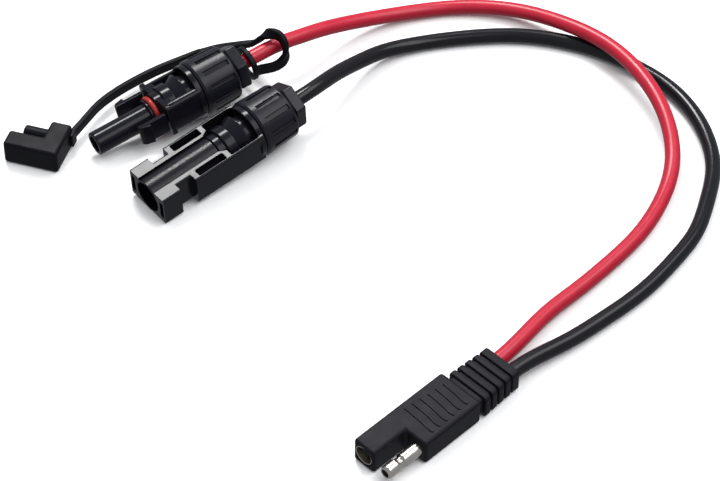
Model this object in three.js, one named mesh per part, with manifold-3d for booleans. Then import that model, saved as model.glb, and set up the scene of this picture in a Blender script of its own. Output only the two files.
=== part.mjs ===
// Solar lead adapter: a socket and a pin photovoltaic connector, each on a short
// 10 AWG lead, joined to one flat two-pole plug that has a tethered dust cap.
// Millimetres, +Z up. The adapter lies on the plane Z = 0.
import * as THREE from 'three';
import { mergeVertices } from 'three/addons/utils/BufferGeometryUtils.js';
import Module from 'manifold-3d';

const wasm = await Module();
wasm.setup();

// ---------------------------------------------------------------- driving dimensions

const gap = 0.3; // clearance between neighbouring pieces
const roundSides = 28; // facets round an outer turned piece
const innerSides = 18; // facets round a small or hidden one

// Lead: 10 AWG copper in thick insulation.
const leadRadius = 2.65;
const conductorRadius = 1.55;
const leadBore = leadRadius + gap;

// Both photovoltaic connectors share one tail and gland. These stations run along
// the connector's axis from the housing's rear face: towards the lead is positive.
const gland = {
  spigotEnd: 7,
  spigotRadius: 7.2,
  sealSeat: 5.2, // bore of the spigot
  nutRadius: 9.9,
  skirtRadius: 10.4, // the nut flares to this at its open end
  nutShoulder: 13.8, // where the grip ribs end
  collarStart: 14.8,
  nutEnd: 19,
  collarAcrossFlats: 15,
  collarRadius: 8.3, // the hexagon's corners are turned down to this
  threadPitch: 1.5,
};
const grip = { grooves: 12, width: 1.8, depth: 1, start: 3, end: 12.9, phase: 6 };
const chamber = { front: -14.3, radius: 4.2 };
const flange = { start: -14, end: -12.8, radius: 3.4 };
const crimp = { end: -2, radius: 2.6, bore: 1.9, floor: -10.6 };
const clip = { length: 4.2, slit: 1.2 };
const leadStart = 3; // where the insulation begins
const seal = { start: 1, end: 11.5, radius: 4.9 };
const collet = { start: 7.3, end: 12.3, radius: 6.9 };
const neck = { radius: 6.3, drumStart: -12.6, drumEnd: -8.7, drumRadius: 7.4, coneRadius: 8.5, coneEnd: -4.4 };
const ring = { start: -2, radius: 9.9, cupRadius: 9.2, cupFloor: -0.8 };
const merge = 0.5; // how far joined solids run into each other

// Socket connector (round probe with two latch fingers).
const probe = { radius: 4.2, bore: 2.95, rootStart: 21, rootRadius: 5.4 };
const socketHousingEnd = 39.6;
const socket = { outer: 2.65, bore: 2.1, start: 1.5, floor: 22 };
const oRing = { station: 23, radius: 5.1, section: 0.95 };
const shell = { collarStart: 24.7, collarEnd: 26.5, collarWidth: 19.8, collarHeight: 12, width: 18.4, height: 11.6 };
const finger = { tip: 13.7, root: 24.4, inner: 7.6, outer: 9.1, height: 7.2, barb: 1.5, barbEnd: 17.7 };
const scoop = { start: 28.4, halfWidth: 6.7, floor: -0.5 };

// Pin connector (round mouth with a latch window each side).
const pinHousingEnd = 43.1;
const block = { width: 18.5, height: 11.7, frontEnd: 7.4, notchEnd: 13.9, notchHalf: 6.4 };
const barrel = { radius: 6.3, end: 26.9, mouth: 5.9, mouthDepth: 4, bore: 4.5, floor: 25 };
const latchWindow = { centre: 7.7, width: 1.9, height: 7.4 };
const sideSlots = [{ start: 15.9, end: 27.6 }, { start: 29.4, end: 41 }];
const slot = { centre: 6.9, width: 3 };
const pin = { tip: 7.9, radius: 2 };

// Flat two-pole plug. X runs from the mating end to the leads, Y to the left.
const plug = { width: 17.4, height: 9.4, legWidth: 8.8, step: 12.7, front: -1.2, bodyEnd: 37.5, end: 55.2 };
const plugRibs = { count: 5, start: 39.2, pitch: 3.2, length: 2.3, left: -1.6, right: -17.7 };
const plugAxisHeight = plug.height / 2;
const plugSocket = { y: -4.2, radius: 2.75, bore: 2.3, start: -0.2 };
const plugPin = { y: -13.8, radius: 2.15, tip: -1.3 };
const plugCrimp = { start: 14.5, end: 26, radius: 2.3, bore: 1.85, floor: 18 };
const plugLead = { red: -6.5, black: -13.1, start: 36 };

// Dust cap. X runs from its open end to the tether, Y away from the long leg.
const cap = { length: 19.5, width: 15.4, height: 9, legLength: 12, legWidth: 7.2, pinY: 11.6 };
const capSocket = { radius: 2.4, depth: 15, y: cap.legWidth / 2 };
const capPin = { radius: 2.45, start: 3.4 };
const capBoss = { length: 3.6, proud: 1.2, depth: 3.6, bottom: 1.6, top: 6.8 }; // where the tether joins

// Tether: a flat rubber band with an eyelet round the red lead.
const tether = { thickness: 2, height: 3.8 };
const eyelet = { start: 21.3, end: 23.2, outer: 6.2, bore: 4.5, drop: 1.5 }; // stations from the housing's rear face

// Where each connector lies, in the layout plane: X and Y of its mating end, the
// height of its axis there, its heading, how much its lead end is raised, and how far
// it is rolled about its own axis.
const socketPose = { x: -89.6, y: 38.7, z: 6.35, yaw: 0.602, tilt: 0.099, roll: -0.195 };
const pinPose = { x: -70.4, y: 13.85, z: 6.45, yaw: 0.691, tilt: 0.09, roll: 0.056 };
const plugPose = { x: -1.2, y: -91.3, z: 0, yaw: 0.78, tilt: 0, roll: 0 };
const capPose = { x: -120.5, y: 36.6, z: 0, yaw: -0.3, tilt: 0, roll: 0 };

// The layout's own origin is moved to the middle of the rigid pieces' footprint.
const layoutShift = { x: 35.1, y: 7.6 };

// Free stretch of each lead, in the layout plane: it leaves the nut straight, comes
// down to the surface, and rises again to the plug. Red passes over black.
const redRoute = [
  [-27.5, 81.7, 12.9], [-20.9, 86.3, 11.9], [-14.0, 91.5, 10.2], [-6.9, 96.6, 8.0],
  [7.0, 104.3, 4.6], [21.3, 109.4, 2.9], [39.2, 111.4, 3.0], [56.8, 107.4, 4.6],
  [70.6, 99.0, 7.0], [85.6, 86.4, 8.6], [98.2, 67.6, 8.6], [104.8, 47.0, 6.6],
  [105.2, 32.6, 4.2], [99.4, 13.6, 2.8], [92.4, 1.0, 2.7], [81.4, -12.6, 2.7],
  [70.2, -24.6, 2.9], [60.6, -34.6, 3.5],
];
const blackRoute = [
  [-15.7, 59.6, 12.4], [-10.3, 66.5, 11.0], [-6.0, 72.0, 9.4], [0.2, 79.1, 7.0],
  [7.4, 86.0, 4.7], [21.2, 92.6, 2.8], [35.2, 95.4, 2.7], [56.4, 96.6, 2.7],
  [70.6, 94.0, 2.7], [84.6, 88.2, 2.7], [97.0, 79.8, 2.7], [106.6, 70.6, 2.7],
  [113.8, 58.8, 2.7], [118.1, 44.9, 2.7], [118.8, 30.1, 2.7], [115.8, 16.2, 2.7],
  [109.7, -0.6, 2.7], [104.4, -8.8, 2.7], [91.2, -25.2, 2.7], [77.6, -37.6, 2.9],
  [66.4, -46.8, 3.4],
];
const leadSteps = 46;
const straightEnds = { red: 6, black: 2.5 }; // how far each lead runs straight out of its nut

// ---------------------------------------------------------------- solids

function solidOf(geometry) {
  const bare = geometry.clone();
  bare.deleteAttribute('normal');
  bare.deleteAttribute('uv');
  const merged = mergeVertices(bare, 1e-4);
  const corners = merged.index.array;
  const kept = [];
  for (let i = 0; i < corners.length; i += 3) {
    const [a, b, c] = [corners[i], corners[i + 1], corners[i + 2]];
    if (a !== b && b !== c && c !== a) kept.push(a, b, c);
  }
  const mesh = new wasm.Mesh({
    numProp: 3,
    vertProperties: new Float32Array(merged.attributes.position.array),
    triVerts: new Uint32Array(kept),
  });
  return new wasm.Manifold(mesh);
}

function geometryOf(solid) {
  const { vertProperties, triVerts } = solid.getMesh();
  const geometry = new THREE.BufferGeometry();
  geometry.setAttribute('position', new THREE.BufferAttribute(vertProperties, 3));
  geometry.setIndex(new THREE.BufferAttribute(triVerts, 1));
  geometry.computeVertexNormals();
  return geometry;
}

function boxSolid(x0, x1, y0, y1, z0, z1) {
  const box = new THREE.BoxGeometry(x1 - x0, y1 - y0, z1 - z0);
  box.translate((x0 + x1) / 2, (y0 + y1) / 2, (z0 + z1) / 2);
  return solidOf(box);
}

// A cylinder along X.
function rodSolid(radius, x0, x1, y = 0, z = 0, sides = roundSides) {
  const rod = new THREE.CylinderGeometry(radius, radius, x1 - x0, sides);
  rod.rotateZ(-Math.PI / 2);
  rod.translate((x0 + x1) / 2, y, z);
  return solidOf(rod);
}

// A turned solid along X from its half section, a list of [x, radius].
function turnedSolid(section, sides = roundSides) {
  const outline = section.map(([x, radius]) => new THREE.Vector2(radius, x));
  const lathe = new THREE.LatheGeometry(outline, sides);
  lathe.rotateZ(-Math.PI / 2);
  return solidOf(lathe);
}

// A flat outline in X and Y, drawn up from z0 to z1.
function plateSolid(outline, z0, z1) {
  const shape = new THREE.Shape(outline.map(([x, y]) => new THREE.Vector2(x, y)));
  const plate = new THREE.ExtrudeGeometry(shape, { depth: z1 - z0, bevelEnabled: false });
  plate.translate(0, 0, z0);
  return solidOf(plate);
}

// A block along X with its four long edges rounded.
function roundedBar(x0, x1, y0, y1, z0, z1, radius) {
  const section = new THREE.Shape();
  const width = y1 - y0;
  const height = z1 - z0;
  section.moveTo(radius, 0);
  section.lineTo(width - radius, 0);
  section.absarc(width - radius, radius, radius, -Math.PI / 2, 0);
  section.lineTo(width, height - radius);
  section.absarc(width - radius, height - radius, radius, 0, Math.PI / 2);
  section.lineTo(radius, height);
  section.absarc(radius, height - radius, radius, Math.PI / 2, Math.PI);
  section.lineTo(0, radius);
  section.absarc(radius, radius, radius, Math.PI, Math.PI * 1.5);
  const bar = new THREE.ExtrudeGeometry(section, { depth: x1 - x0, bevelEnabled: false, curveSegments: 3 });
  bar.rotateX(Math.PI / 2);
  bar.rotateZ(Math.PI / 2);
  bar.translate(x0, y0, z0);
  return solidOf(bar);
}

function joined(...solids) {
  return solids.reduce((whole, solid) => whole.add(solid));
}

function carved(solid, ...cutters) {
  return cutters.reduce((left, cutter) => left.subtract(cutter), solid);
}

// A round tube or rod that follows a smooth curve through the points.
function tubeAlong(points, radius, steps, sides = 10) {
  const section = new THREE.Shape();
  for (let i = 0; i < sides; i += 1) {
    const angle = (i / sides) * Math.PI * 2;
    const corner = [Math.cos(angle) * radius, Math.sin(angle) * radius];
    if (i === 0) section.moveTo(...corner);
    else section.lineTo(...corner);
  }
  section.closePath();
  const path = new THREE.CatmullRomCurve3(points, false, 'centripetal');
  return new THREE.ExtrudeGeometry(section, { steps, extrudePath: path, bevelEnabled: false });
}

// ---------------------------------------------------------------- materials

function plastic(color, roughness) {
  return new THREE.MeshStandardMaterial({ color, roughness, metalness: 0 });
}
function metal(color, roughness) {
  return new THREE.MeshStandardMaterial({ color, roughness, metalness: 1 });
}
const material = {
  housing: plastic('#16171a', 0.3),
  nut: plastic('#1c1d21', 0.42),
  overmould: plastic('#1b1b1f', 0.6),
  rubber: plastic('#141414', 0.55),
  oRing: plastic('#b8281f', 0.4),
  seal: plastic('#33363a', 0.7),
  collet: plastic('#3a3c40', 0.5),
  redLead: plastic('#c8202f', 0.38),
  blackLead: plastic('#17171a', 0.35),
  tin: metal('#c9c6bf', 0.28),
  nickel: metal('#d2cdc4', 0.2),
  copper: metal('#b87444', 0.35),
};

// ---------------------------------------------------------------- connector pieces

// What both housings have behind their fronts: the neck in the cut-away, the end
// ring and the threaded spigot.
function housingTail(rear) {
  const stem = gland.spigotRadius - gap;
  const section = [
    [chamber.front - 1, 0], [chamber.front - 1, neck.radius],
    [neck.drumStart, neck.radius], [neck.drumStart, neck.drumRadius],
    [neck.drumEnd, neck.drumRadius], [neck.drumEnd, neck.radius],
    [neck.coneEnd, neck.coneRadius], [neck.coneEnd, stem], [ring.cupFloor, stem],
    [ring.cupFloor, ring.cupRadius], [ring.start, ring.cupRadius], [ring.start, ring.radius],
    [0, ring.radius], [0, gland.spigotRadius],
    [gland.spigotEnd, gland.spigotRadius], [gland.spigotEnd, 0],
  ];
  return turnedSolid(section).translate([rear, 0, 0]);
}

function chamberBore(rear) {
  const overrun = 1;
  return turnedSolid([
    [chamber.front, 0], [chamber.front, chamber.radius], [0, chamber.radius], [0, gland.sealSeat],
    [gland.spigotEnd + overrun, gland.sealSeat], [gland.spigotEnd + overrun, 0],
  ], innerSides).translate([rear, 0, 0]);
}

function socketHousing() {
  const half = shell.width / 2;
  const nose = joined(
    rodSolid(probe.radius, 0, probe.rootStart + 1),
    rodSolid(probe.rootRadius, probe.rootStart, shell.collarStart + 1),
  );
  const groove = carved(
    rodSolid(probe.rootRadius + 1, oRing.station - oRing.section - gap, oRing.station + oRing.section + gap),
    rodSolid(oRing.radius - oRing.section - gap, 0, shell.collarEnd),
  );
  const collar = roundedBar(
    shell.collarStart, shell.collarEnd, -shell.collarWidth / 2, shell.collarWidth / 2,
    -shell.collarHeight / 2, shell.collarHeight / 2, 0.8,
  );
  const body = roundedBar(
    shell.collarEnd - merge, socketHousingEnd - merge, -half, half, -shell.height / 2, shell.height / 2, 2,
  );
  const cutAway = boxSolid(
    scoop.start, socketHousingEnd + ring.start + merge, -scoop.halfWidth, scoop.halfWidth,
    scoop.floor, shell.collarHeight,
  );
  return carved(
    joined(carved(joined(collar, body), cutAway), nose, housingTail(socketHousingEnd)),
    groove,
    rodSolid(probe.bore, -1, shell.collarEnd, 0, 0, innerSides),
    chamberBore(socketHousingEnd),
  );
}

function pinHousing() {
  const half = block.width / 2;
  const halfHeight = block.height / 2;
  const front = roundedBar(0, block.frontEnd, -half, half, -halfHeight, halfHeight, 0.7);
  const middle = roundedBar(
    block.frontEnd - merge, block.notchEnd + merge, -block.notchHalf, block.notchHalf, -halfHeight, halfHeight, 0.7,
  );
  const body = roundedBar(block.notchEnd, pinHousingEnd - merge, -half, half, -halfHeight, halfHeight, 0.7);
  const cutters = [];
  for (const side of [-1, 1]) {
    const y = side * latchWindow.centre;
    cutters.push(boxSolid(
      -1, block.frontEnd + 1, y - latchWindow.width / 2, y + latchWindow.width / 2,
      -latchWindow.height / 2, latchWindow.height / 2,
    ));
    for (const { start, end } of sideSlots) {
      const slotY = side * slot.centre;
      cutters.push(boxSolid(start, end, slotY - slot.width / 2, slotY + slot.width / 2, 0.5, barrel.radius + 1));
    }
  }
  const taperEnd = pinHousingEnd + ring.start + merge;
  const taper = plateSolid(
    [[barrel.end, -4], [taperEnd, -8], [taperEnd, 8], [barrel.end, 4]],
    scoop.floor, barrel.radius + 1,
  );
  const shellBody = carved(joined(front, middle, body, rodSolid(barrel.radius, 0, barrel.end + merge)), taper);
  const mouth = turnedSolid([
    [-1, 0], [-1, barrel.mouth], [barrel.mouthDepth, barrel.mouth], [barrel.mouthDepth, barrel.bore],
    [barrel.floor, barrel.bore], [barrel.floor, pin.radius + gap],
    [barrel.floor + 5, pin.radius + gap], [barrel.floor + 5, 0],
  ]);
  return carved(joined(shellBody, housingTail(pinHousingEnd)), mouth, chamberBore(pinHousingEnd), ...cutters);
}

function crimpBarrel() {
  return [
    [flange.start, flange.radius], [flange.end, flange.radius], [flange.end, crimp.radius],
    [crimp.end, crimp.radius], [crimp.end, crimp.bore], [crimp.floor, crimp.bore], [crimp.floor, 0],
  ];
}

function socketContact() {
  const { outer, bore } = socket;
  const start = socket.start - socketHousingEnd;
  const floor = socket.floor - socketHousingEnd;
  return turnedSolid([
    [floor, 0], [floor, bore], [start, bore], [start, outer], [flange.start, outer], ...crimpBarrel(),
  ], innerSides);
}

function pinContact() {
  const { radius } = pin;
  const tip = pin.tip - pinHousingEnd;
  return turnedSolid([
    [tip, 0], [tip, radius * 0.6], [tip + 1.2, radius], [flange.start, radius], ...crimpBarrel(),
  ], innerSides);
}

// Spring ring that holds the contact in its chamber: slit along one side.
function contactClip() {
  const outer = chamber.radius - gap;
  const start = flange.end + gap;
  const end = start + clip.length;
  return carved(
    rodSolid(outer, start, end, 0, 0, innerSides),
    rodSolid(crimp.radius + gap, start - 1, end + 1, 0, 0, innerSides),
    boxSolid(start - 1, end + 1, -clip.slit / 2, clip.slit / 2, 0, outer + 1),
  );
}

function cableSeal() {
  return turnedSolid([
    [seal.start, leadBore], [seal.start, seal.radius], [seal.end, seal.radius], [seal.end, leadBore],
    [seal.start, leadBore],
  ], innerSides);
}

// Clamping cage: a ring with fingers that the nut squeezes on the seal.
function clampingCollet() {
  const ring = carved(
    rodSolid(collet.radius, collet.start, collet.end, 0, 0, innerSides),
    rodSolid(seal.radius + gap, collet.start - 1, collet.end + 1, 0, 0, innerSides),
  );
  const slits = [];
  for (let i = 0; i < 3; i += 1) {
    const slit = new THREE.BoxGeometry(collet.end - collet.start, collet.radius * 3, 1.2);
    slit.translate(collet.start + 1.6 + (collet.end - collet.start) / 2, 0, 0);
    slit.rotateX((i / 3) * Math.PI);
    slits.push(solidOf(slit));
  }
  return carved(ring, ...slits);
}

function glandNut() {
  const front = gap;
  const lip = 0.8;
  const shoulderRadius = gland.collarAcrossFlats / 2 - 0.6;
  const body = turnedSolid([
    [front, 0], [front, gland.skirtRadius - 0.5], [front + lip, gland.skirtRadius],
    [gland.nutShoulder, gland.nutRadius], [gland.collarStart, shoulderRadius],
    [gland.collarStart + 1, shoulderRadius], [gland.collarStart + 1, 0],
  ]);
  const corner = gland.collarAcrossFlats / 2 / Math.cos(Math.PI / 6);
  const hexagon = rodSolid(corner, gland.collarStart, gland.nutEnd, 0, 0, 6);
  const turnedDown = rodSolid(gland.collarRadius, gland.collarStart - 1, gland.nutEnd + 1);
  const inside = turnedSolid([
    [front - 1, 0], [front - 1, gland.spigotRadius + gap], [collet.end + 0.8, gland.spigotRadius + gap],
    [gland.nutEnd - 2, leadBore + 0.2], [gland.nutEnd + 1, leadBore + 0.2], [gland.nutEnd + 1, 0],
  ]);
  const grooves = [];
  for (let i = 0; i < grip.grooves; i += 1) {
    const groove = new THREE.BoxGeometry(grip.end - grip.start, grip.width, grip.depth * 2);
    groove.translate((grip.start + grip.end) / 2, 0, gland.nutRadius + 0.2);
    groove.rotateX(THREE.MathUtils.degToRad(grip.phase + (i * 360) / grip.grooves));
    grooves.push(solidOf(groove));
  }
  return carved(joined(body, hexagon.intersect(turnedDown)), inside, ...grooves);
}

function conductorStub() {
  return rodSolid(conductorRadius, crimp.floor + gap, leadStart - gap, 0, 0, 12);
}

function oRingGeometry() {
  const ring = new THREE.TorusGeometry(oRing.radius, oRing.section, 8, roundSides);
  ring.rotateY(Math.PI / 2);
  ring.translate(oRing.station, 0, 0);
  return ring;
}

// Latch finger on the side given by its sign, with a barb on the outside of its tip.
function latchFinger(side) {
  const { tip, root, inner, outer, barb, barbEnd, height } = finger;
  const outline = [
    [root, inner], [root, outer], [barbEnd, outer], [barbEnd, outer + barb],
    [tip + 0.8, outer + barb * 0.35], [tip, outer - 0.5], [tip, inner],
  ];
  return plateSolid(outline.map(([x, y]) => [x, side * y]), -height / 2, height / 2);
}

// ---------------------------------------------------------------- flat plug pieces

function plugLeadJog(fromY, toY, overrun = 0) {
  const { start } = plugLead;
  return [
    new THREE.Vector3(start - gap + overrun, fromY, plugAxisHeight),
    new THREE.Vector3(start - 3, fromY, plugAxisHeight),
    new THREE.Vector3(plugCrimp.end + 2, toY, plugAxisHeight),
    new THREE.Vector3(plugCrimp.floor + gap, toY, plugAxisHeight),
  ];
}

function plugBody() {
  const { width, legWidth, step, front, bodyEnd, height, end } = plug;
  const legCorner = 1.4;
  const outline = [
    [front, -legCorner], [front + legCorner, 0], [bodyEnd - 1.2, 0], [bodyEnd, -1.2], [bodyEnd, 1.2 - width],
    [bodyEnd - 1.2, -width], [step + 0.6, -width], [step, 0.6 - width], [step, -legWidth],
    [front + 0.6, -legWidth], [front, 0.6 - legWidth],
  ];
  const body = plateSolid(outline, 0, height);
  const { count, start, pitch, length, left, right } = plugRibs;
  const tail = roundedBar(bodyEnd - 1, end - 0.4, right + 1.2, left - 1.4, 1.2, height - 1.2, 1.2);
  const ribs = [];
  for (let i = 0; i < count; i += 1) {
    const x = start + i * pitch;
    const stop = i === count - 1 ? end : x + length;
    const narrowing = i * 0.17;
    ribs.push(roundedBar(x, stop, right + narrowing, left - narrowing, 0.35, height - 0.35, 1.6));
  }
  const bores = [];
  const contacts = [[plugSocket, plugLead.red, plugSocket.radius], [plugPin, plugLead.black, plugCrimp.radius]];
  for (const [contact, leadY, radius] of contacts) {
    bores.push(rodSolid(radius + gap, front - 1, plugCrimp.end + gap, contact.y, plugAxisHeight, innerSides));
    bores.push(rodSolid(leadBore, plugLead.start - gap, end + 1, leadY, plugAxisHeight, innerSides));
    bores.push(solidOf(tubeAlong(plugLeadJog(leadY, contact.y, merge), conductorRadius + gap, 8)));
  }
  return carved(joined(body, tail, ...ribs), ...bores);
}

function plugContactTail() {
  const { start, end, radius, bore, floor } = plugCrimp;
  return [[start, radius], [end, radius], [end, bore], [floor, bore], [floor, 0]];
}

// Bullet pin: a rounded hollow head, a waist, and a shank with a crimp barrel.
function bulletPin() {
  const { radius, tip } = plugPin;
  const waist = radius * 0.78;
  return turnedSolid([
    [tip + 3, 0], [tip + 3, radius * 0.45], [tip, radius * 0.55], [tip, radius * 0.74], [tip + 1, radius],
    [tip + 4.4, radius], [tip + 5.4, waist], [tip + 6.6, waist], [tip + 7.4, radius],
    [plugCrimp.start, radius], ...plugContactTail(),
  ], innerSides).translate([0, plugPin.y, plugAxisHeight]);
}

function socketSleeve() {
  const { radius, bore, start } = plugSocket;
  const floor = plug.step + 0.8;
  return turnedSolid([
    [floor, 0], [floor, bore], [start, bore], [start, radius], [plugCrimp.start, radius], ...plugContactTail(),
  ], innerSides).translate([0, plugSocket.y, plugAxisHeight]);
}

// ---------------------------------------------------------------- cap and tether

function dustCap() {
  const { length, width, height, legLength, legWidth, pinY } = cap;
  const axis = height / 2;
  const corner = 0.9;
  const outline = [
    [0, corner], [corner, 0], [length - corner, 0], [length, corner], [length, width - corner],
    [length - corner, width], [legLength, width], [legLength, legWidth], [0, legWidth],
  ];
  const dummyPin = rodSolid(capPin.radius, capPin.start, legLength + 1, pinY, axis, innerSides);
  const socketBore = rodSolid(capSocket.radius, -1, capSocket.depth, capSocket.y, axis, innerSides);
  const boss = roundedBar(
    length - capBoss.length, length + capBoss.proud, width - capBoss.depth, width, capBoss.bottom, capBoss.top, 0.8,
  );
  return carved(joined(plateSolid(outline, 0, height), dummyPin, boss), socketBore);
}

// A flat band swept through hand-placed stations. Each station has a place and the
// direction of the band's height there.
function bandSolid(stations, thickness, height, steps) {
  const path = new THREE.CatmullRomCurve3(stations.map(({ at }) => at), false, 'centripetal');
  const lean = new THREE.CatmullRomCurve3(stations.map(({ up }) => up), false, 'centripetal');
  const positions = [];
  for (let i = 0; i <= steps; i += 1) {
    const centre = path.getPoint(i / steps);
    const along = path.getTangent(i / steps);
    const across = new THREE.Vector3().crossVectors(along, lean.getPoint(i / steps)).normalize();
    const up = new THREE.Vector3().crossVectors(across, along).normalize();
    for (const [a, b] of [[-1, -1], [1, -1], [1, 1], [-1, 1]]) {
      const corner = centre.clone();
      corner.addScaledVector(across, (a * thickness) / 2);
      corner.addScaledVector(up, (b * height) / 2);
      positions.push(corner.x, corner.y, corner.z);
    }
  }
  const faces = [];
  for (let i = 0; i < steps; i += 1) {
    for (let k = 0; k < 4; k += 1) {
      const [p, q] = [4 * i + k, 4 * i + ((k + 1) % 4)];
      faces.push(p, q + 4, q, p, p + 4, q + 4);
    }
  }
  const last = 4 * steps;
  faces.push(0, 1, 2, 0, 2, 3, last, last + 2, last + 1, last, last + 3, last + 2);
  const band = new THREE.BufferGeometry();
  band.setAttribute('position', new THREE.BufferAttribute(new Float32Array(positions), 3));
  band.setIndex(faces);
  return solidOf(band);
}

function eyeletSolid() {
  const { start, end, outer, bore, drop } = eyelet;
  return carved(rodSolid(outer, start, end, 0, -drop, innerSides), rodSolid(bore, start - 1, end + 1, 0, -drop, innerSides));
}

// ---------------------------------------------------------------- assembly

const adapter = new THREE.Group();
const layout = new THREE.Group();
layout.position.set(layoutShift.x, layoutShift.y, 0);
adapter.add(layout);

function posedGroup({ x, y, z, yaw, tilt, roll }) {
  const group = new THREE.Group();
  group.position.set(x, y, z);
  group.rotation.set(roll, -tilt, yaw, 'ZYX');
  group.updateMatrix();
  layout.add(group);
  return group;
}

function addPiece(group, name, shape, look) {
  const geometry = shape.isBufferGeometry ? shape : geometryOf(shape);
  const mesh = new THREE.Mesh(geometry, look);
  mesh.name = name;
  group.add(mesh);
}

// A point given in a posed group's own frame, in the layout frame.
function placedPoint(group, x, y, z) {
  return new THREE.Vector3(x, y, z).applyMatrix4(group.matrix);
}

const socketGroup = posedGroup(socketPose);
const pinGroup = posedGroup(pinPose);
const plugGroup = posedGroup(plugPose);
const capGroup = posedGroup(capPose);

// The eyelet and tether hang on the socket connector's lead, so they don't roll with it.
const leadAxisGroup = posedGroup({ ...socketPose, roll: 0 });

// A group inside a connector whose origin is at the centre of the rear face.
function rearGroup(connector, rear) {
  const group = new THREE.Group();
  group.position.set(rear, 0, 0);
  connector.add(group);
  group.updateMatrix();
  group.matrix.premultiply(connector.matrix);
  group.matrix.decompose(group.position, group.quaternion, group.scale);
  layout.add(group);
  return group;
}
const socketRear = rearGroup(socketGroup, socketHousingEnd);
const pinRear = rearGroup(pinGroup, pinHousingEnd);
const leadRear = rearGroup(leadAxisGroup, socketHousingEnd);

function addGland(group, prefix) {
  addPiece(group, `${prefix}_contact_clip`, contactClip(), material.tin);
  addPiece(group, `${prefix}_conductor`, conductorStub(), material.copper);
  addPiece(group, `${prefix}_cable_seal`, cableSeal(), material.seal);
  addPiece(group, `${prefix}_clamping_collet`, clampingCollet(), material.collet);
  addPiece(group, `${prefix}_gland_nut`, glandNut(), material.nut);
}

addPiece(socketGroup, 'socket_housing', socketHousing(), material.housing);
addPiece(socketRear, 'socket_contact', socketContact(), material.tin);
addPiece(socketGroup, 'socket_o_ring', oRingGeometry(), material.oRing);
addPiece(socketGroup, 'latch_finger_left', latchFinger(1), material.housing);
addPiece(socketGroup, 'latch_finger_right', latchFinger(-1), material.housing);
addGland(socketRear, 'socket');

addPiece(pinGroup, 'pin_housing', pinHousing(), material.housing);
addPiece(pinRear, 'pin_contact', pinContact(), material.tin);
addGland(pinRear, 'pin');

addPiece(plugGroup, 'plug_body', plugBody(), material.overmould);
addPiece(plugGroup, 'plug_bullet_pin', bulletPin(), material.nickel);
addPiece(plugGroup, 'plug_socket_sleeve', socketSleeve(), material.nickel);
for (const [colour, contact] of [['red', plugSocket], ['black', plugPin]]) {
  const jog = tubeAlong(plugLeadJog(plugLead[colour], contact.y), conductorRadius, 8);
  addPiece(plugGroup, `plug_${colour}_conductor`, solidOf(jog), material.copper);
}

function leadSolid(connector, route, plugY, straight) {
  const straightEnd = gland.nutEnd + straight;
  const points = [
    placedPoint(connector, leadStart, 0, 0),
    placedPoint(connector, (leadStart + straightEnd) / 2, 0, 0),
    placedPoint(connector, straightEnd, 0, 0),
    ...route.map(([x, y, z]) => new THREE.Vector3(x, y, z)),
    placedPoint(plugGroup, plug.end + 3, plugY, plugAxisHeight),
    placedPoint(plugGroup, plug.end - 4, plugY, plugAxisHeight),
    placedPoint(plugGroup, plugLead.start, plugY, plugAxisHeight),
  ];
  return solidOf(tubeAlong(points, leadRadius, leadSteps));
}
addPiece(layout, 'red_lead', leadSolid(socketRear, redRoute, plugLead.red, straightEnds.red), material.redLead);
addPiece(layout, 'black_lead', leadSolid(pinRear, blackRoute, plugLead.black, straightEnds.black), material.blackLead);

addPiece(capGroup, 'dust_cap', dustCap(), material.rubber);
addPiece(leadRear, 'tether_eyelet', eyeletSolid(), material.rubber);

function tetherSolid() {
  const upright = new THREE.Vector3(0, 0, 1);
  const leadAxis = placedPoint(leadRear, 1, 0, 0).sub(placedPoint(leadRear, 0, 0, 0));
  const leaning = upright.clone().add(leadAxis).normalize();
  const round = (x, y, z, up) => ({ at: placedPoint(leadRear, x, y, z), up });
  const free = (x, y, z) => ({ at: new THREE.Vector3(x, y, z), up: upright });
  const stations = [
    round(eyelet.end + gap, -2.2, -4.8, upright), round(25.6, -2.5, -4.9, upright),
    round(28.1, -3.7, -4.8, upright), round(30.9, -5.0, -4.2, upright), round(33.0, -5.7, -2.7, upright),
    round(34.4, -5.6, -0.4, leaning), round(35.1, -4.8, 2.1, leadAxis), round(35.3, -3.4, 4.2, leadAxis),
    round(34.7, -1.3, 5.4, leadAxis), round(33.4, 0.5, 5.5, leadAxis), round(32.4, 2.0, 4.7, leadAxis),
    round(31.4, 3.3, 3.1, leadAxis), round(30.3, 4.7, 0.9, leaning), round(28.8, 6.9, -1.5, upright),
    free(-39.6, 84.7, 9.6), free(-44.0, 86.2, 7.4), free(-50.0, 86.0, 6.1), free(-59.0, 83.0, 5.0),
    free(-69.2, 78.0, 4.2), free(-77.0, 72.8, 3.8), free(-84.0, 66.4, 4.0), free(-90.0, 58.9, 4.4),
    free(-93.6, 52.4, 4.6),
    { at: placedPoint(capGroup, cap.length - 0.2, cap.width + 2 * gap, (capBoss.bottom + capBoss.top) / 2), up: upright },
  ];
  return bandSolid(stations, tether.thickness, tether.height, 66);
}
addPiece(layout, 'cap_tether', tetherSolid(), material.rubber);

export default adapter;
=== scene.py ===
"""Looks for the solar lead adapter: two photovoltaic connectors on short leads, one flat
two-pole plug, and a tethered dust cap. Every piece is modelled in millimetres in its own
frame, X along its axis, and then laid out in the row frame in metres."""

import math

import bpy
import numpy as np
from mathutils import Euler, Matrix, Vector


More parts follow.
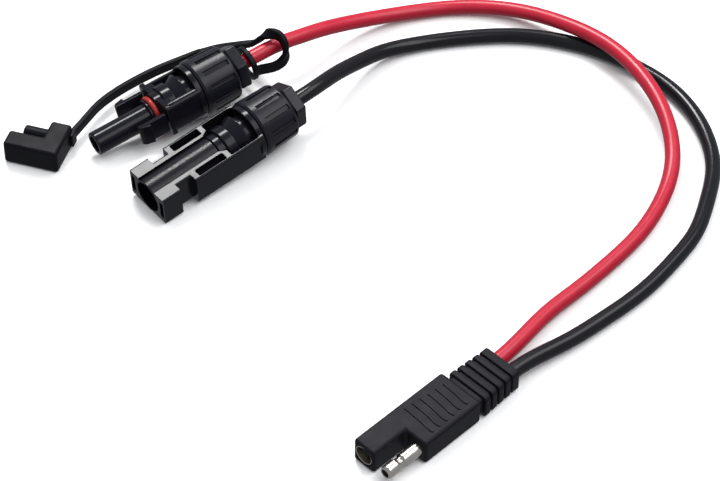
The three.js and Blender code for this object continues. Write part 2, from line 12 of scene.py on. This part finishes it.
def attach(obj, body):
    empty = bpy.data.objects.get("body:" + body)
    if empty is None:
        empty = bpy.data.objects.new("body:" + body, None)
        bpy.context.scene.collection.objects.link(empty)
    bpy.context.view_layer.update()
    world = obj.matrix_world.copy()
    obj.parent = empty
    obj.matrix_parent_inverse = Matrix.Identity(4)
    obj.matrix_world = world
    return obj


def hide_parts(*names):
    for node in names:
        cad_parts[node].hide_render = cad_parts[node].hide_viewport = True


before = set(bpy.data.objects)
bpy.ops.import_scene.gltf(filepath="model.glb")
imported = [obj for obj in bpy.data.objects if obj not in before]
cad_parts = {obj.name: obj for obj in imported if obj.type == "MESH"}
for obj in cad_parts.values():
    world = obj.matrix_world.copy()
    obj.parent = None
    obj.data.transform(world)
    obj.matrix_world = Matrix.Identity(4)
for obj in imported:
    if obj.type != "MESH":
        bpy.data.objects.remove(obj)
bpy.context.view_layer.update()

# ---------------------------------------------------------------- dimensions, millimetres

MM = 0.001
TURNED_SIDES = 96
LAYOUT_SHIFT = (35.1, 7.6, 0.0)  # the layout's own origin, in the row frame

LEAD_RADIUS = 2.65
SOCKET_REAR = 39.6  # rear face of the socket connector's housing
PIN_REAR = 43.1
NUT_END = 19.0  # end of the gland nut behind the rear face
PLUG_MIDDLE = 4.7  # half the plug's height
SLEEVE_Y = -4.2
BULLET_Y = -13.8

# Place of each mating end in the layout, heading, how much the lead end is raised, roll.
SOCKET_POSE = dict(x=-89.6, y=38.7, z=6.35, yaw=0.602, tilt=0.099, roll=-0.195)
PIN_POSE = dict(x=-70.4, y=13.85, z=6.45, yaw=0.691, tilt=0.09, roll=0.056)
PLUG_POSE = dict(x=-1.2, y=-91.3, z=0.0, yaw=0.78, tilt=0.0, roll=0.0)
CAP_POSE = dict(x=-120.5, y=36.6, z=0.0, yaw=-0.3, tilt=0.0, roll=0.0)


def pose_matrix(x, y, z, yaw, tilt, roll):
    place = Vector((x, y, z)) + Vector(LAYOUT_SHIFT)
    return Matrix.Translation(place) @ Euler((roll, -tilt, yaw), "XYZ").to_matrix().to_4x4()


SOCKET = pose_matrix(**SOCKET_POSE)
PIN = pose_matrix(**PIN_POSE)
PLUG = pose_matrix(**PLUG_POSE)
CAP = pose_matrix(**CAP_POSE)
SOCKET_TAIL = SOCKET @ Matrix.Translation((SOCKET_REAR, 0, 0))
PIN_TAIL = PIN @ Matrix.Translation((PIN_REAR, 0, 0))
SOCKET_LEAD_AXIS = pose_matrix(**{**SOCKET_POSE, "roll": 0.0}) @ Matrix.Translation((SOCKET_REAR, 0, 0))

# ---------------------------------------------------------------- mesh helpers


def new_object(name, vertices, faces):
    mesh = bpy.data.meshes.new(name)
    mesh.from_pydata([tuple(v) for v in vertices], [], faces)
    mesh.validate()
    made = bpy.data.objects.new(name, mesh)
    bpy.context.scene.collection.objects.link(made)
    return made


def filleted(points, radius, closed=True, steps=5):
    """The outline with each corner turned into a small arc. A corner can give its own
    radius as a third number."""
    out = []
    count = len(points)
    for i, point in enumerate(points):
        corner = Vector(point[:2])
        r = point[2] if len(point) > 2 else radius
        at_end = not closed and i in (0, count - 1)
        before = Vector(points[i - 1][:2]) - corner
        after = Vector(points[(i + 1) % count][:2]) - corner
        if at_end or r <= 0 or before.length < 1e-6 or after.length < 1e-6:
            out.append(tuple(corner))
            continue
        angle = before.angle(after)
        if angle > math.radians(172):
            out.append(tuple(corner))
            continue
        back = min(r / math.tan(angle / 2), 0.48 * before.length, 0.48 * after.length)
        start = corner + before.normalized() * back
        end = corner + after.normalized() * back
        for k in range(steps + 1):
            t = k / steps
            curve = (1 - t) ** 2 * start + 2 * t * (1 - t) * corner + t * t * end
            out.append(tuple(curve))
    return out


def turned(name, section, sides=TURNED_SIDES, edge=0.25, closed=False):
    """A turned solid along X from its half section, a list of (x, radius)."""
    profile = filleted(section, edge, closed=closed)
    vertices = []
    rings = []
    for x, radius in profile:
        if radius < 1e-6:
            rings.append([len(vertices)])
            vertices.append((x, 0, 0))
            continue
        rings.append(list(range(len(vertices), len(vertices) + sides)))
        for k in range(sides):
            angle = 2 * math.pi * k / sides
            vertices.append((x, radius * math.cos(angle), radius * math.sin(angle)))
    faces = []
    pairs = list(zip(rings, rings[1:]))
    if closed:
        pairs.append((rings[-1], rings[0]))
    for a, b in pairs:
        for k in range(sides):
            n = (k + 1) % sides
            if len(a) == 1 and len(b) == 1:
                break
            if len(a) == 1:
                faces.append((a[0], b[n], b[k]))
            elif len(b) == 1:
                faces.append((a[k], a[n], b[0]))
            else:
                faces.append((a[k], a[n], b[n], b[k]))
    return new_object(name, vertices, faces)


def lofted(name, vertices, count):
    """A closed body through equal rings of count points each, capped at both ends."""
    faces = [tuple(reversed(range(count))), tuple(range(len(vertices) - count, len(vertices)))]
    for ring in range(0, len(vertices) - count, count):
        for k in range(count):
            n = (k + 1) % count
            faces.append((ring + k, ring + n, ring + count + n, ring + count + k))
    return new_object(name, vertices, faces)


def plate(name, outline, z0, z1):
    """A flat outline in X and Y drawn up from z0 to z1."""
    vertices = [(x, y, z) for z in (z0, z1) for x, y in outline]
    return lofted(name, vertices, len(outline))


def along_x(name, outline, x0, x1):
    """An outline in Y and Z drawn along X from x0 to x1."""
    vertices = [(x, y, z) for x in (x0, x1) for y, z in outline]
    return lofted(name, vertices, len(outline))


def bar(name, x0, x1, y0, y1, z0, z1, corner=0.6):
    """A block along X with its four long edges rounded."""
    outline = filleted([(y0, z0), (y1, z0), (y1, z1), (y0, z1)], corner)
    return along_x(name, outline, x0, x1)


def rod(name, radius, x0, x1, y=0.0, z=0.0, sides=TURNED_SIDES):
    made = turned(name, [(x0, 0), (x0, radius), (x1, radius), (x1, 0)], sides, edge=0)
    made.data.transform(Matrix.Translation((0, y, z)))
    return made


def applied(obj):
    """obj with its modifiers baked into its mesh."""
    graph = bpy.context.evaluated_depsgraph_get()
    baked = bpy.data.meshes.new_from_object(obj.evaluated_get(graph))
    obj.modifiers.clear()
    obj.data = baked
    return obj


def combined(obj, others, operation):
    for other in others:
        step = obj.modifiers.new("step", "BOOLEAN")
        step.operation = operation
        step.solver = "EXACT"
        step.object = other
        applied(obj)
        bpy.data.objects.remove(other)
    return obj


def joined(obj, *others):
    return combined(obj, others, "UNION")


def carved(obj, *cutters):
    return combined(obj, cutters, "DIFFERENCE")


def softened(obj, width, segments=3, angle=32):
    """Every sharp edge gets a small round, as a moulded piece has."""
    step = obj.modifiers.new("edges", "BEVEL")
    step.width = width
    step.segments = segments
    step.limit_method = "ANGLE"
    step.angle_limit = math.radians(angle)
    step.use_clamp_overlap = True
    step.loop_slide = True
    return applied(obj)


def shaded(obj, sharp_angle=28):
    obj.data.polygons.foreach_set("use_smooth", [True] * len(obj.data.polygons))
    obj.data.set_sharp_from_angle(angle=math.radians(sharp_angle))
    step = obj.modifiers.new("normals", "WEIGHTED_NORMAL")
    step.keep_sharp = True
    step.weight = 60
    return applied(obj)


def finished(obj, pose, look, body, nodes):
    """Lays a finished piece out in the row frame and hands it to its body."""
    obj.data.transform(Matrix.Scale(MM, 4) @ pose)
    obj.data.materials.clear()
    obj.data.materials.append(look)
    shaded(obj)
    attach(obj, body)
    if nodes:
        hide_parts(*nodes)
    return obj


# ---------------------------------------------------------------- materials


BLOTCH_SIZE = 5.0  # millimetres over which gloss and tone drift
GLOSS_DRIFT = 0.25
TONE_DRIFT = 0.15


def surface(name, color, roughness, metallic=0.0, specular=0.5):
    look = bpy.data.materials.new(name)
    look.use_nodes = True
    shader = look.node_tree.nodes["Principled BSDF"]
    shader.inputs["Base Color"].default_value = (*color, 1)
    shader.inputs["Roughness"].default_value = roughness
    shader.inputs["Metallic"].default_value = metallic
    shader.inputs["Specular IOR Level"].default_value = specular
    return look


def grained(look, size_mm, depth_mm, detail=2.0):
    """A fine moulded or cast grain, as a bump on the surface, with gloss and tone that
    drift slightly from place to place."""
    tree = look.node_tree
    place = tree.nodes.new("ShaderNodeTexCoord")
    noise = tree.nodes.new("ShaderNodeTexNoise")
    noise.inputs["Scale"].default_value = 1 / (size_mm * MM)
    noise.inputs["Detail"].default_value = detail
    bump = tree.nodes.new("ShaderNodeBump")
    bump.inputs["Strength"].default_value = 1.0
    bump.inputs["Distance"].default_value = depth_mm * MM
    tree.links.new(place.outputs["Object"], noise.inputs["Vector"])
    tree.links.new(noise.outputs["Fac"], bump.inputs["Height"])
    shader = tree.nodes["Principled BSDF"]
    tree.links.new(bump.outputs["Normal"], shader.inputs["Normal"])
    blotches = tree.nodes.new("ShaderNodeTexNoise")
    blotches.inputs["Scale"].default_value = 1 / (BLOTCH_SIZE * MM)
    tree.links.new(place.outputs["Object"], blotches.inputs["Vector"])
    gloss = tree.nodes.new("ShaderNodeMapRange")
    roughness = shader.inputs["Roughness"].default_value
    gloss.inputs["To Min"].default_value = roughness * (1 - GLOSS_DRIFT)
    gloss.inputs["To Max"].default_value = roughness * (1 + GLOSS_DRIFT)
    tree.links.new(blotches.outputs["Fac"], gloss.inputs["Value"])
    tree.links.new(gloss.outputs["Result"], shader.inputs["Roughness"])
    tone = tree.nodes.new("ShaderNodeMix")
    tone.data_type = "RGBA"
    color = shader.inputs["Base Color"].default_value[:3]
    color_a, color_b, mixed = tone.inputs[6], tone.inputs[7], tone.outputs[2]
    color_a.default_value = (*(c * (1 - TONE_DRIFT) for c in color), 1)
    color_b.default_value = (*(c * (1 + TONE_DRIFT) for c in color), 1)
    tree.links.new(blotches.outputs["Fac"], tone.inputs["Factor"])
    tree.links.new(mixed, shader.inputs["Base Color"])
    return look


LOOKS = {
    "housing": grained(
        surface("housing_black", (0.007, 0.007, 0.011), 0.18, specular=0.17), 0.5, 0.004,
    ),
    "lands": grained(
        surface("lands_black", (0.007, 0.007, 0.010), 0.17, specular=0.15), 0.5, 0.002,
    ),
    "barrel": grained(
        surface("barrel_grain", (0.007, 0.007, 0.010), 0.24, specular=0.2), 0.45, 0.05, detail=1.0,
    ),
    "nut": grained(surface("nut_black", (0.007, 0.007, 0.012), 0.32, specular=0.26), 0.35, 0.012),
    "overmould": grained(
        surface("overmould_black", (0.007, 0.007, 0.010), 0.46, specular=0.12), 0.4, 0.012,
    ),
    "rubber": grained(
        surface("rubber_black", (0.004, 0.004, 0.006), 0.46, specular=0.12), 0.4, 0.010,
    ),
    "o_ring": grained(surface("o_ring_red", (0.27, 0.018, 0.015), 0.3, specular=0.4), 0.3, 0.003),
    "red": grained(surface("insulation_red", (0.42, 0.010, 0.030), 0.32, specular=0.4), 1.4, 0.006),
    "black": grained(
        surface("insulation_black", (0.006, 0.006, 0.008), 0.22, specular=0.3), 1.4, 0.006,
    ),
    "tin": grained(surface("tin_plate", (0.62, 0.60, 0.56), 0.26, metallic=1.0), 0.4, 0.004),
    "nickel": grained(surface("nickel_plate", (0.56, 0.53, 0.49), 0.24, metallic=1.0), 0.5, 0.008),
    "copper": grained(surface("bare_copper", (0.62, 0.25, 0.11), 0.35, metallic=1.0), 0.4, 0.01),
    "seal": grained(surface("seal_grey", (0.03, 0.03, 0.035), 0.7), 0.3, 0.005),
}

# ---------------------------------------------------------------- connectors

RING_RADIUS = 9.9
SPIGOT_RADIUS = 7.2
GRIP_GROOVES = 12
GRIP_PHASE = math.radians(6)
COLLAR_START = 14.8
COLLAR_FLATS = 15.0  # across the hexagonal collar
NUT_BORE = 3.15


def tail_section():
    """Half section behind a housing's front, from its rear face: neck, drum, cone, cupped
    end ring and threaded spigot."""
    return [
        (-15.3, 0), (-15.3, 6.3), (-12.6, 6.3), (-12.6, 7.4, 0.5), (-8.7, 7.4, 0.5), (-8.7, 6.3),
        (-4.4, 8.5, 0.8), (-4.4, 6.9), (-0.8, 6.9), (-0.8, 9.2), (-2, 9.2), (-2, RING_RADIUS),
        (0, RING_RADIUS), (0, SPIGOT_RADIUS), (7, SPIGOT_RADIUS), (7, 5.2), (1, 5.2), (1, 0),
    ]


def socket_housing():
    shell = softened(bar("socket_shell", 26.0, 39.1, -9.2, 9.2, -5.8, 5.8, corner=2.4), 0.5)
    collar = softened(bar("socket_collar", 24.7, 26.5, -9.9, 9.9, -6, 6, corner=1.4), 0.35)
    cut = bar("cut", 28.4, 38.1, -6.7, 6.7, -0.5, 9, corner=1.2)
    shell = softened(carved(joined(shell, collar), cut), 0.25, angle=50)
    nose = turned("socket_nose", [
        (22.2, 0), (22.2, 2.95), (0, 2.95), (0, 4.2, 0.5), (21, 4.2), (21, 5.4), (21.75, 5.4),
        (21.75, 3.85), (24.25, 3.85), (24.25, 5.4), (26, 5.4), (26, 0),
    ])
    tail = turned("socket_tail", tail_section())
    tail.data.transform(Matrix.Translation((SOCKET_REAR, 0, 0)))
    for part in (shell, nose, tail):
        part.name = f"socket_housing_{part.name.split('_')[1]}"
        finished(part, SOCKET, LOOKS["housing"], "adapter", ["socket_housing"])


def pin_housing():
    half, half_height = 9.25, 5.85
    front = bar("front", 0, 7.4, -half, half, -half_height, half_height, corner=0.7)
    middle = bar("middle", 6.9, 14.4, -6.4, 6.4, -half_height, half_height, corner=0.7)
    shell = bar("pin_shell", 13.9, 42.6, -half, half, -half_height, half_height, corner=0.7)
    trough = bar("trough", -1, 44, -4.3, 4.3, 3.4, 9, corner=0)
    taper = plate("taper", [
        (26.8, -4.3), (29.4, -5.7), (41.6, -8.3), (41.6, 8.3), (29.4, 5.7), (26.8, 4.3),
    ], -0.5, 9)
    cutters = [trough, taper, rod("mouth", 5.6, -1, 26)]
    for side in (-1, 1):
        y, slot_y = side * 7.7, side * 6.9
        near, far = slot_y - 1.55, slot_y + 1.55
        cutters.append(bar("window", -1, 9, y - 0.95, y + 0.95, -3.7, 3.7, corner=0.3))
        for x0, x1 in ((15.9, 27.6), (29.4, 41.0)):
            outline = filleted([(x0, near), (x1, near), (x1, far), (x0, far)], 0.6)
            cutters.append(plate("slot", outline, 0.5, 9))
    shell = softened(carved(joined(shell, front, middle), *cutters), 0.22)
    barrel = turned("pin_barrel", [
        (25, 0), (25, 4.5), (4, 4.5), (4, 5.6), (0, 5.6), (0, 6.3, 0.3), (27.4, 6.3), (27.4, 0),
    ])
    tail = turned("pin_tail", tail_section())
    tail.data.transform(Matrix.Translation((PIN_REAR, 0, 0)))
    for part, look in ((shell, "lands"), (barrel, "barrel"), (tail, "housing")):
        part.name = f"pin_housing_{part.name.split('_')[1]}"
        finished(part, PIN, LOOKS[look], "adapter", ["pin_housing"])


def contacts():
    sleeve = turned("socket_contact_sleeve", [
        (-26, 0), (-26, 2.1), (-38.1, 2.1), (-38.1, 2.65), (-14, 2.65), (-14, 0),
    ])
    finished(sleeve, SOCKET_TAIL, LOOKS["tin"], "adapter", ["socket_contact"])
    pin = turned("pin_contact_pin", [(-35.2, 0), (-35.2, 1.3, 0.6), (-34, 2), (-14, 2), (-14, 0)])
    finished(pin, PIN_TAIL, LOOKS["tin"], "adapter", ["pin_contact"])


def o_ring():
    centre, section = 5.1, 0.95
    outline = []
    for k in range(20):
        angle = 2 * math.pi * k / 20
        outline.append((23.0 + section * math.cos(angle), centre - section * math.sin(angle)))
    ring = turned("o_ring", outline, edge=0, closed=True)
    finished(ring, SOCKET, LOOKS["o_ring"], "adapter", ["socket_o_ring"])


def latch_finger(name, side, body):
    outline = [
        (24.4, 7.6), (24.4, 9.1), (17.7, 9.1), (17.7, 10.6), (14.5, 9.6), (13.7, 8.6), (13.7, 7.6),
    ]
    finger = plate(name, [(x, side * y) for x, y in outline][::side], -3.6, 3.6)
    softened(finger, 0.22)
    finished(finger, SOCKET, LOOKS["housing"], body, [name])


def gland_nut(name, pose, body):
    shell = turned(f"{name}_shell", [
        (0.3, 7.5), (0.3, 9.9, 0.3), (1.1, 10.4, 0.5), (13.8, 9.9, 1.0), (COLLAR_START, 7.2),
        (15.8, 7.2), (15.8, NUT_BORE), (13.1, 7.5),
    ], closed=True)
    grooves = []
    for i in range(GRIP_GROOVES):
        groove = bar("groove", 3.0, 12.9, -0.95, 0.95, 9.2, 12, corner=0.35)
        groove.data.transform(Matrix.Rotation(2 * math.pi * i / GRIP_GROOVES + GRIP_PHASE, 4, "X"))
        grooves.append(groove)
    shell = softened(carved(shell, *grooves), 0.14)
    corner = COLLAR_FLATS / 2 / math.cos(math.radians(30))
    corners = []
    for degrees in range(30, 390, 60):
        angle = math.radians(degrees)
        corners.append((corner * math.cos(angle), corner * math.sin(angle)))
    outline = filleted(corners, 1.0)
    collar = softened(along_x(f"{name}_collar", outline, COLLAR_START, NUT_END), 0.7)
    collar = softened(carved(collar, rod("bore", NUT_BORE, 10, 20)), 0.2, angle=60)
    for part in (shell, collar):
        finished(part, pose, LOOKS["nut"], body, [name])


# ---------------------------------------------------------------- plug


def grip_lines(height):
    """Cutters for the shallow lines across the plug's top, hooked at their right ends."""
    cutters = []
    for i in range(6):
        x = 18.3 + i * 3.1
        far, near = -2.4 - 0.35 * i, -15.3 + 0.1 * i
        course = [
            (x, far), (x - 0.1, -6.5), (x - 0.4, -10.5), (x - 0.7, near + 1), (x - 0.4, near),
            (x + 0.9, near),
        ]
        line = cubic_line([(*p, 0) for p in course], 24)
        left = [(p.x - 0.28, p.y - 0.08) for p in line]
        right = [(p.x + 0.28, p.y + 0.08) for p in line]
        cutters.append(plate("line", left + right[::-1], height - 0.35, height + 1))
    return cutters


def plug_body():
    height, width, step, body_end, leg = 2 * PLUG_MIDDLE, 17.4, 12.7, 37.5, 8.8
    outline = [
        (-1.2, 0), (-1.2, -leg), (step, -leg), (step, -width), (body_end, -width), (body_end, 0),
    ]
    body = softened(plate("plug_body", outline, 0, height), 1.15, segments=5, angle=50)
    mouth = turned("mouth", [(-3, 0), (-3, 3.8), (0.4, 3.8), (4, 3.2), (14, 3.05), (14, 0)], edge=0)
    mouth.data.transform(Matrix.Translation((0, SLEEVE_Y, height / 2)))
    body = carved(body, mouth, *grip_lines(height))
    parts = [body]
    core = bar("plug_tail_core", 36.5, 54.8, -16.5, -3, 1.2, height - 1.2, corner=1.2)
    parts.append(softened(core, 0.4))
    for i in range(5):
        x = 39.2 + i * 3.2
        stop = 55.2 if i == 4 else x + 2.3
        right, left = -17.7 + i * 0.17, -1.6 - i * 0.17
        rib = bar(f"plug_rib_{i + 1}", x, stop, right, left, 0.35, height - 0.35, 1.6)
        parts.append(softened(rib, 0.45, segments=4))
    for part in parts:
        finished(part, PLUG, LOOKS["overmould"], "adapter", ["plug_body"])


def plug_contacts():
    pin = turned("plug_bullet_pin_turned", [
        (5.5, 0), (5.5, 1.1), (-1.3, 1.45), (-1.3, 1.85, 0.3), (-0.3, 2.3, 0.5), (3.1, 2.3, 0.5),
        (4.1, 1.75, 0.8), (5.3, 1.75, 0.8), (6.1, 2.3, 0.5), (14.5, 2.3), (14.5, 0),
    ])
    pin.data.transform(Matrix.Translation((0, BULLET_Y, PLUG_MIDDLE)))
    finished(pin, PLUG, LOOKS["nickel"], "adapter", ["plug_bullet_pin"])
    sleeve = turned("plug_socket_sleeve_turned", [
        (13.5, 0), (13.5, 2.3), (4, 2.6), (-0.9, 3.15), (-0.9, 3.45), (4, 2.9), (14.5, 2.75),
        (14.5, 0),
    ], edge=0.15)
    sleeve.data.transform(Matrix.Translation((0, SLEEVE_Y, PLUG_MIDDLE)))
    finished(sleeve, PLUG, LOOKS["nickel"], "adapter", ["plug_socket_sleeve"])


# ---------------------------------------------------------------- cap and tether


def dust_cap():
    outline = [(0, 0), (19.5, 0), (19.5, 15.4), (12, 15.4), (12, 7.2), (0, 7.2)]
    body = softened(plate("dust_cap_body", outline, 0, 9), 1.2, segments=5, angle=50)
    body = carved(body, rod("bore", 2.4, -1, 15, 3.6, 4.5))
    pin = turned("dust_cap_pin", [(3.4, 0), (3.4, 2.45, 0.7), (13, 2.45), (13, 0)])
    pin.data.transform(Matrix.Translation((0, 11.6, 4.5)))
    boss = softened(bar("dust_cap_boss", 15.9, 20.7, 11.8, 15.4, 1.6, 6.8, 0.8), 0.4)
    for part in (body, pin, boss):
        finished(part, CAP, LOOKS["rubber"], "cap", ["dust_cap"])


def eyelet():
    ring = turned("tether_eyelet_ring", [
        (21.3, 4.5), (21.3, 6.2), (23.2, 6.2), (23.2, 4.5),
    ], edge=0.5, closed=True)
    ring.data.transform(Matrix.Translation((0, 0, -1.5)))
    finished(ring, SOCKET_LEAD_AXIS, LOOKS["rubber"], "tether_ring", ["tether_eyelet"])


def cubic_line(points, count):
    """count points on the smoothest curve through the given ones: a natural cubic spline
    over the distance from one to the next."""
    knots = np.array([tuple(p) for p in points], float)
    spans = np.linalg.norm(np.diff(knots, axis=0), axis=1)
    stations = np.concatenate(([0.0], np.cumsum(spans)))
    size = len(knots)
    system = np.eye(size)
    target = np.zeros_like(knots)
    for i in range(1, size - 1):
        system[i, i - 1 : i + 2] = (spans[i - 1], 2 * (spans[i - 1] + spans[i]), spans[i])
        rise = (knots[i + 1] - knots[i]) / spans[i] - (knots[i] - knots[i - 1]) / spans[i - 1]
        target[i] = 6 * rise
    bends = np.linalg.solve(system, target)
    out = []
    for at in np.linspace(0, stations[-1], count):
        i = min(int(np.searchsorted(stations, at, side="right")) - 1, size - 2)
        span = spans[i]
        a = (stations[i + 1] - at) / span
        b = (at - stations[i]) / span
        curve = a * knots[i] + b * knots[i + 1]
        curve += ((a**3 - a) * bends[i] + (b**3 - b) * bends[i + 1]) * span**2 / 6
        out.append(Vector(curve))
    return out


def tether():
    """The flat band: listed stations with the direction of its height at each."""
    upright = Vector((0, 0, 1))
    lead_axis = SOCKET_LEAD_AXIS.to_3x3() @ Vector((1, 0, 0))
    leaning = (upright + lead_axis).normalized()
    by_lead = [
        (23.5, -2.2, -4.8, upright), (25.6, -2.5, -4.9, upright), (28.1, -3.7, -4.8, upright),
        (30.9, -5.0, -4.2, upright), (33.0, -5.7, -2.7, upright), (34.4, -5.6, -0.4, leaning),
        (35.1, -4.8, 2.1, lead_axis), (35.3, -3.4, 4.2, lead_axis), (34.7, -1.3, 5.4, lead_axis),
        (33.4, 0.5, 5.5, lead_axis), (32.4, 2.0, 4.7, lead_axis), (31.4, 3.3, 3.1, lead_axis),
        (30.3, 4.7, 0.9, leaning), (28.8, 6.9, -1.5, upright),
    ]
    free = [
        (-39.6, 84.7, 9.6), (-44.0, 86.2, 7.4), (-50.0, 86.0, 6.1), (-59.0, 83.0, 5.0),
        (-69.2, 78.0, 4.2), (-77.0, 72.8, 3.8), (-84.0, 66.4, 4.0), (-90.0, 58.9, 4.4),
        (-93.6, 52.4, 4.6),
    ]
    places = [SOCKET_LEAD_AXIS @ Vector(s[:3]) for s in by_lead]
    places += [Vector(p) + Vector(LAYOUT_SHIFT) for p in free]
    places.append(CAP @ Vector((19.3, 16.0, 4.2)))
    leans = [s[3] for s in by_lead] + [upright] * (len(free) + 1)
    steps = 320
    line = cubic_line(places, steps)
    stations = np.linspace(0, len(leans) - 1, steps)
    section = filleted([(-1, -1.9), (1, -1.9), (1, 1.9), (-1, 1.9)], 0.8, steps=4)
    vertices = []
    for i, centre in enumerate(line):
        ahead = line[min(i + 1, steps - 1)] - line[max(i - 1, 0)]
        ahead.normalize()
        k = min(int(stations[i]), len(leans) - 2)
        lean = leans[k].lerp(leans[k + 1], stations[i] - k)
        across = ahead.cross(lean).normalized()
        up = across.cross(ahead).normalized()
        vertices += [centre + across * a + up * b for a, b in section]
    band = lofted("tether_band", vertices, len(section))
    finished(band, Matrix.Identity(4), LOOKS["rubber"], "tether", ["cap_tether"])


# ---------------------------------------------------------------- leads

# Free stretch of each lead, in metres in the layout plane.
RED_ROUTE = [
    (-0.0275, 0.0817, 0.0129), (-0.0209, 0.0863, 0.0119), (-0.0140, 0.0915, 0.0102),
    (-0.0069, 0.0966, 0.0080), (0.0070, 0.1043, 0.0046), (0.0213, 0.1094, 0.0029),
    (0.0392, 0.1114, 0.0030), (0.0568, 0.1074, 0.0046), (0.0706, 0.0990, 0.0070),
    (0.0856, 0.0864, 0.0086), (0.0982, 0.0676, 0.0086), (0.1048, 0.0470, 0.0066),
    (0.1052, 0.0326, 0.0042), (0.0994, 0.0136, 0.0028), (0.0924, 0.0010, 0.0027),
    (0.0814, -0.0126, 0.0027), (0.0702, -0.0246, 0.0029), (0.0606, -0.0346, 0.0035),
]
BLACK_ROUTE = [
    (-0.0157, 0.0596, 0.0124), (-0.0103, 0.0665, 0.0110), (-0.0060, 0.0720, 0.0094),
    (0.0002, 0.0791, 0.0070), (0.0074, 0.0860, 0.0047), (0.0212, 0.0926, 0.0028),
    (0.0352, 0.0954, 0.0027), (0.0564, 0.0966, 0.0027), (0.0706, 0.0940, 0.0027),
    (0.0846, 0.0882, 0.0027), (0.0970, 0.0798, 0.0027), (0.1066, 0.0706, 0.0027),
    (0.1138, 0.0588, 0.0027), (0.1181, 0.0449, 0.0027), (0.1188, 0.0301, 0.0027),
    (0.1158, 0.0162, 0.0027), (0.1097, -0.0006, 0.0027), (0.1044, -0.0088, 0.0027),
    (0.0912, -0.0252, 0.0027), (0.0776, -0.0376, 0.0029), (0.0664, -0.0468, 0.0034),
]


def lead(name, tail, straight, route, plug_y, look):
    """A free cord from its gland nut to the plug."""
    shift = Vector(LAYOUT_SHIFT)
    points = [tail @ Vector((x, 0, 0)) for x in (12, NUT_END, NUT_END + straight)]
    points += [Vector(p) / MM + shift for p in route]
    points += [PLUG @ Vector((x, plug_y, PLUG_MIDDLE)) for x in (58.2, 51.2)]
    line = [p * MM for p in cubic_line(points, 260)]
    curve = bpy.data.curves.new(name, "CURVE")
    curve.dimensions = "3D"
    curve.bevel_depth = LEAD_RADIUS * MM
    curve.bevel_resolution = 10
    curve.use_fill_caps = True
    spline = curve.splines.new("POLY")
    spline.points.add(len(line) - 1)
    for point, place in zip(spline.points, line):
        point.co = (*place, 1)
    spline.use_smooth = True
    made = bpy.data.objects.new(name, curve)
    bpy.context.scene.collection.objects.link(made)
    curve.materials.append(look)
    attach(made, "adapter")
    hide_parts(name.replace("_cord", "_lead"))


# ---------------------------------------------------------------- build


def paint_inner_pieces():
    """The pieces closed in by the housings and nuts stay as they are, in their own colours."""
    looks = {
        "clip": "tin", "_conductor": "copper", "cable_seal": "seal", "clamping_collet": "overmould",
        "contact": "tin",
    }
    for name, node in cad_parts.items():
        for ending, look in looks.items():
            if name.endswith(ending):
                node.data.materials.clear()
                node.data.materials.append(LOOKS[look])


paint_inner_pieces()
socket_housing()
pin_housing()
contacts()
o_ring()
latch_finger("latch_finger_left", 1, "latch_left")
latch_finger("latch_finger_right", -1, "latch_right")
gland_nut("socket_gland_nut", SOCKET_TAIL, "socket_nut")
gland_nut("pin_gland_nut", PIN_TAIL, "pin_nut")
plug_body()
plug_contacts()
dust_cap()
eyelet()
tether()
lead("red_cord", SOCKET_TAIL, 6.0, RED_ROUTE, -6.5, LOOKS["red"])
lead("black_cord", PIN_TAIL, 2.5, BLACK_ROUTE, -13.1, LOOKS["black"])

# ---------------------------------------------------------------- studio


def softbox(name, place, target, width, depth, power):
    light = bpy.data.lights.new(name, "AREA")
    light.shape = "RECTANGLE"
    light.size = width
    light.size_y = depth
    light.energy = power
    lamp = bpy.data.objects.new(name, light)
    bpy.context.scene.collection.objects.link(lamp)
    lamp.location = place
    lamp.rotation_euler = (Vector(target) - Vector(place)).to_track_quat("-Z", "Y").to_euler()
    return lamp


def studio():
    """A pale floor and soft lights. The floor stays out of the pieces' reflections, so the
    black plastics keep their dark lower sides."""
    floor = new_object("floor", [(-3, -3, 0), (3, -3, 0), (3, 3, 0), (-3, 3, 0)], [(0, 1, 2, 3)])
    floor.location.z = -0.00005
    floor.data.materials.append(surface("pale_floor", (0.96, 0.96, 0.96), 0.9, specular=0.1))
    floor.visible_glossy = False
    floor.visible_diffuse = False
    world = bpy.data.worlds.new("studio")
    world.use_nodes = True
    world.node_tree.nodes["Background"].inputs["Color"].default_value = (0.86, 0.88, 0.92, 1)
    world.node_tree.nodes["Background"].inputs["Strength"].default_value = 0.46
    bpy.context.scene.world = world
    softbox("back_strip", (-0.15, 0.67, 0.94), (0, 0, 0), 0.40, 0.20, 9.5)
    fill = softbox("top_fill", (0.0, 0.2, 1.8), (0, 0, 0), 3.0, 2.4, 26)
    fill.visible_glossy = False
    softbox("key", (0.6, -0.05, 0.95), (0, 0, 0), 1.2, 0.55, 7)


def camera():
    """Looks down on the middle of the layout: elevation in radians, distance in metres."""
    aim = Vector(LAYOUT_SHIFT) * MM
    elevation, distance = 0.815, 0.949
    lens = bpy.data.cameras.new("camera")
    lens.lens = 143.8
    lens.sensor_width = 36
    eye = bpy.data.objects.new("camera", lens)
    bpy.context.scene.collection.objects.link(eye)
    eye.location = aim + Vector((0, -math.cos(elevation), math.sin(elevation))) * distance
    eye.rotation_euler = (aim - eye.location).to_track_quat("-Z", "Y").to_euler()
    bpy.context.scene.camera = eye


studio()
camera()
bpy.context.scene.view_settings.view_transform = "Standard"
